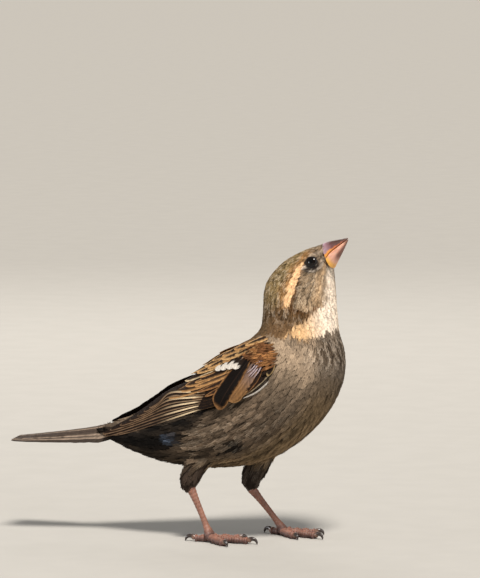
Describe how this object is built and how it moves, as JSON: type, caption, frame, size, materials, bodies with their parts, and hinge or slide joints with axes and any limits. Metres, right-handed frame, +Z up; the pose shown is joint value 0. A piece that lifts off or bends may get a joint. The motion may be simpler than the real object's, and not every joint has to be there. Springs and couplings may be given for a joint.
{
  "type": "house sparrow model",
  "caption": "Life-size still model of a female house sparrow standing on both feet, head raised and turned, tail level.",
  "frame": {"origin": "on the floor under the middle of the bird's bounding box", "axes": "+X from tail to bill along the body, +Y to the bird's left, +Z up"},
  "size_m": [0.1234, 0.0424, 0.1078],
  "materials": {
    "plumage_head": "soft grey-brown feathers, finely mottled, with a buff stripe behind the eye",
    "plumage_breast": "soft grey-buff feathers, cream on the throat and dusky-mottled on the upper breast",
    "plumage_flank": "soft grey-brown feathers",
    "wing_coverts": "chestnut and black-brown feathers with buff fringes and a white bar",
    "flight_feathers": "dark brown feathers with thin buff edges",
    "tail_feathers": "dull brown feathers with thin buff edges",
    "bill_upper": "satin horn, dusky above and pinkish at the cutting edge",
    "bill_lower": "satin horn, flesh pink with a yellow base",
    "eye": "wet, glossy dark brown",
    "leg_scales": "dull pinkish-brown scutes",
    "claw": "satin dark horn"
  },
  "bodies": {
    "root": {"head": "plumage_head", "neck": "plumage_breast", "trunk": "plumage_breast", "eye_left": "eye", "eye_right": "eye", "bill_upper": "bill_upper", "bill_lower": "bill_lower", "tail": "tail_feathers", "wing_coverts_left": "wing_coverts", "wing_secondaries_left": "flight_feathers", "wing_primaries_left": "flight_feathers", "thigh_left": "plumage_flank", "tarsus_left": "leg_scales", "outer_toe_left": "leg_scales", "outer_claw_left": "claw", "middle_toe_left": "leg_scales", "middle_claw_left": "claw", "inner_toe_left": "leg_scales", "inner_claw_left": "claw", "hind_toe_left": "leg_scales", "hind_claw_left": "claw", "wing_coverts_right": "wing_coverts", "wing_secondaries_right": "flight_feathers", "wing_primaries_right": "flight_feathers", "thigh_right": "plumage_flank", "tarsus_right": "leg_scales", "outer_toe_right": "leg_scales", "outer_claw_right": "claw", "middle_toe_right": "leg_scales", "middle_claw_right": "claw", "inner_toe_right": "leg_scales", "inner_claw_right": "claw", "hind_toe_right": "leg_scales", "hind_claw_right": "claw"}
  },
  "joints": []
}
